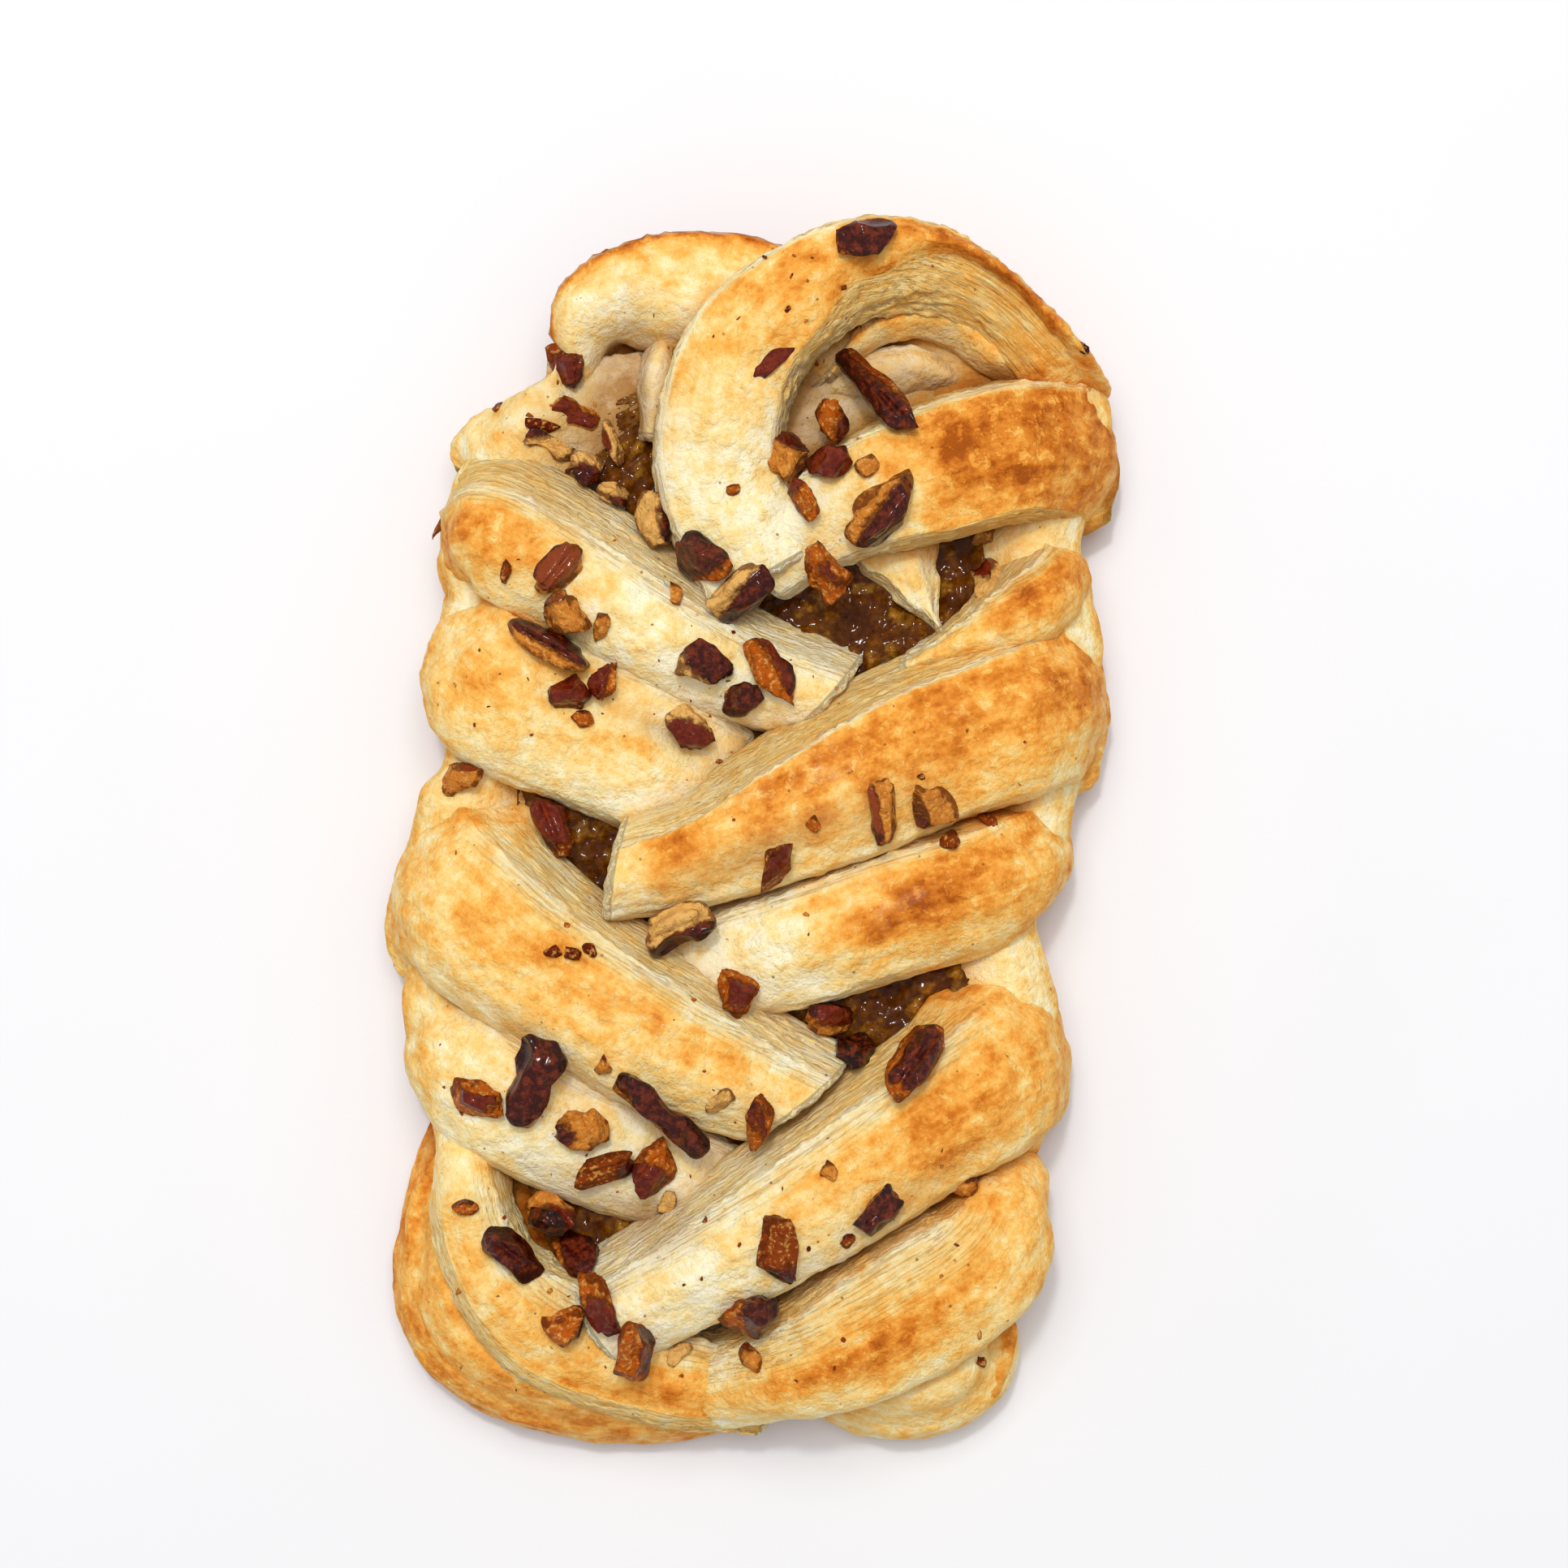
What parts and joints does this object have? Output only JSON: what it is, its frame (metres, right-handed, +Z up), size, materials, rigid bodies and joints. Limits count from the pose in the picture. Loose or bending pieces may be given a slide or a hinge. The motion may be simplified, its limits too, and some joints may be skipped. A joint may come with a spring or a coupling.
{
  "type": "pecan plait",
  "caption": "Braided puff pastry with pecan pieces on top and a syrup and nut filling that shows between its strips.",
  "frame": {"origin": "centre of the flat underside of the bounding box", "axes": "+Y along the plait towards the end with the rolled arch, +X to the right of the plait seen from above, +Z up"},
  "size_m": [0.0838, 0.1401, 0.0279],
  "materials": {
    "crust": "baked egg-washed puff pastry, golden brown with pale layered edges",
    "syrup": "dark brown sticky syrup and nut filling, glossy and lumpy",
    "pecan": "roasted pecan pieces, dark red-brown skin and tan broken flesh"
  },
  "bodies": {
    "root": {"pastry": "crust", "filling": "syrup", "pecan_01": "pecan", "pecan_02": "pecan", "pecan_03": "pecan", "pecan_04": "pecan", "pecan_05": "pecan", "pecan_06": "pecan", "pecan_07": "pecan", "pecan_08": "pecan", "pecan_09": "pecan", "pecan_10": "pecan", "pecan_11": "pecan", "pecan_12": "pecan", "pecan_13": "pecan", "pecan_14": "pecan", "pecan_15": "pecan", "pecan_16": "pecan", "pecan_17": "pecan", "pecan_18": "pecan", "pecan_19": "pecan", "pecan_20": "pecan", "pecan_21": "pecan", "pecan_22": "pecan", "pecan_23": "pecan", "pecan_24": "pecan", "pecan_25": "pecan", "pecan_26": "pecan", "pecan_27": "pecan", "pecan_28": "pecan", "pecan_29": "pecan", "pecan_30": "pecan", "pecan_31": "pecan", "pecan_32": "pecan", "pecan_33": "pecan", "pecan_34": "pecan", "pecan_35": "pecan", "pecan_36": "pecan", "pecan_37": "pecan", "pecan_38": "pecan", "pecan_39": "pecan", "pecan_40": "pecan", "pecan_41": "pecan", "pecan_42": "pecan", "pecan_43": "pecan", "pecan_44": "pecan", "pecan_45": "pecan", "pecan_46": "pecan", "pecan_47": "pecan", "pecan_48": "pecan", "pecan_49": "pecan", "pecan_50": "pecan", "pecan_51": "pecan", "pecan_52": "pecan", "pecan_53": "pecan", "pecan_54": "pecan", "pecan_55": "pecan"}
  },
  "joints": []
}
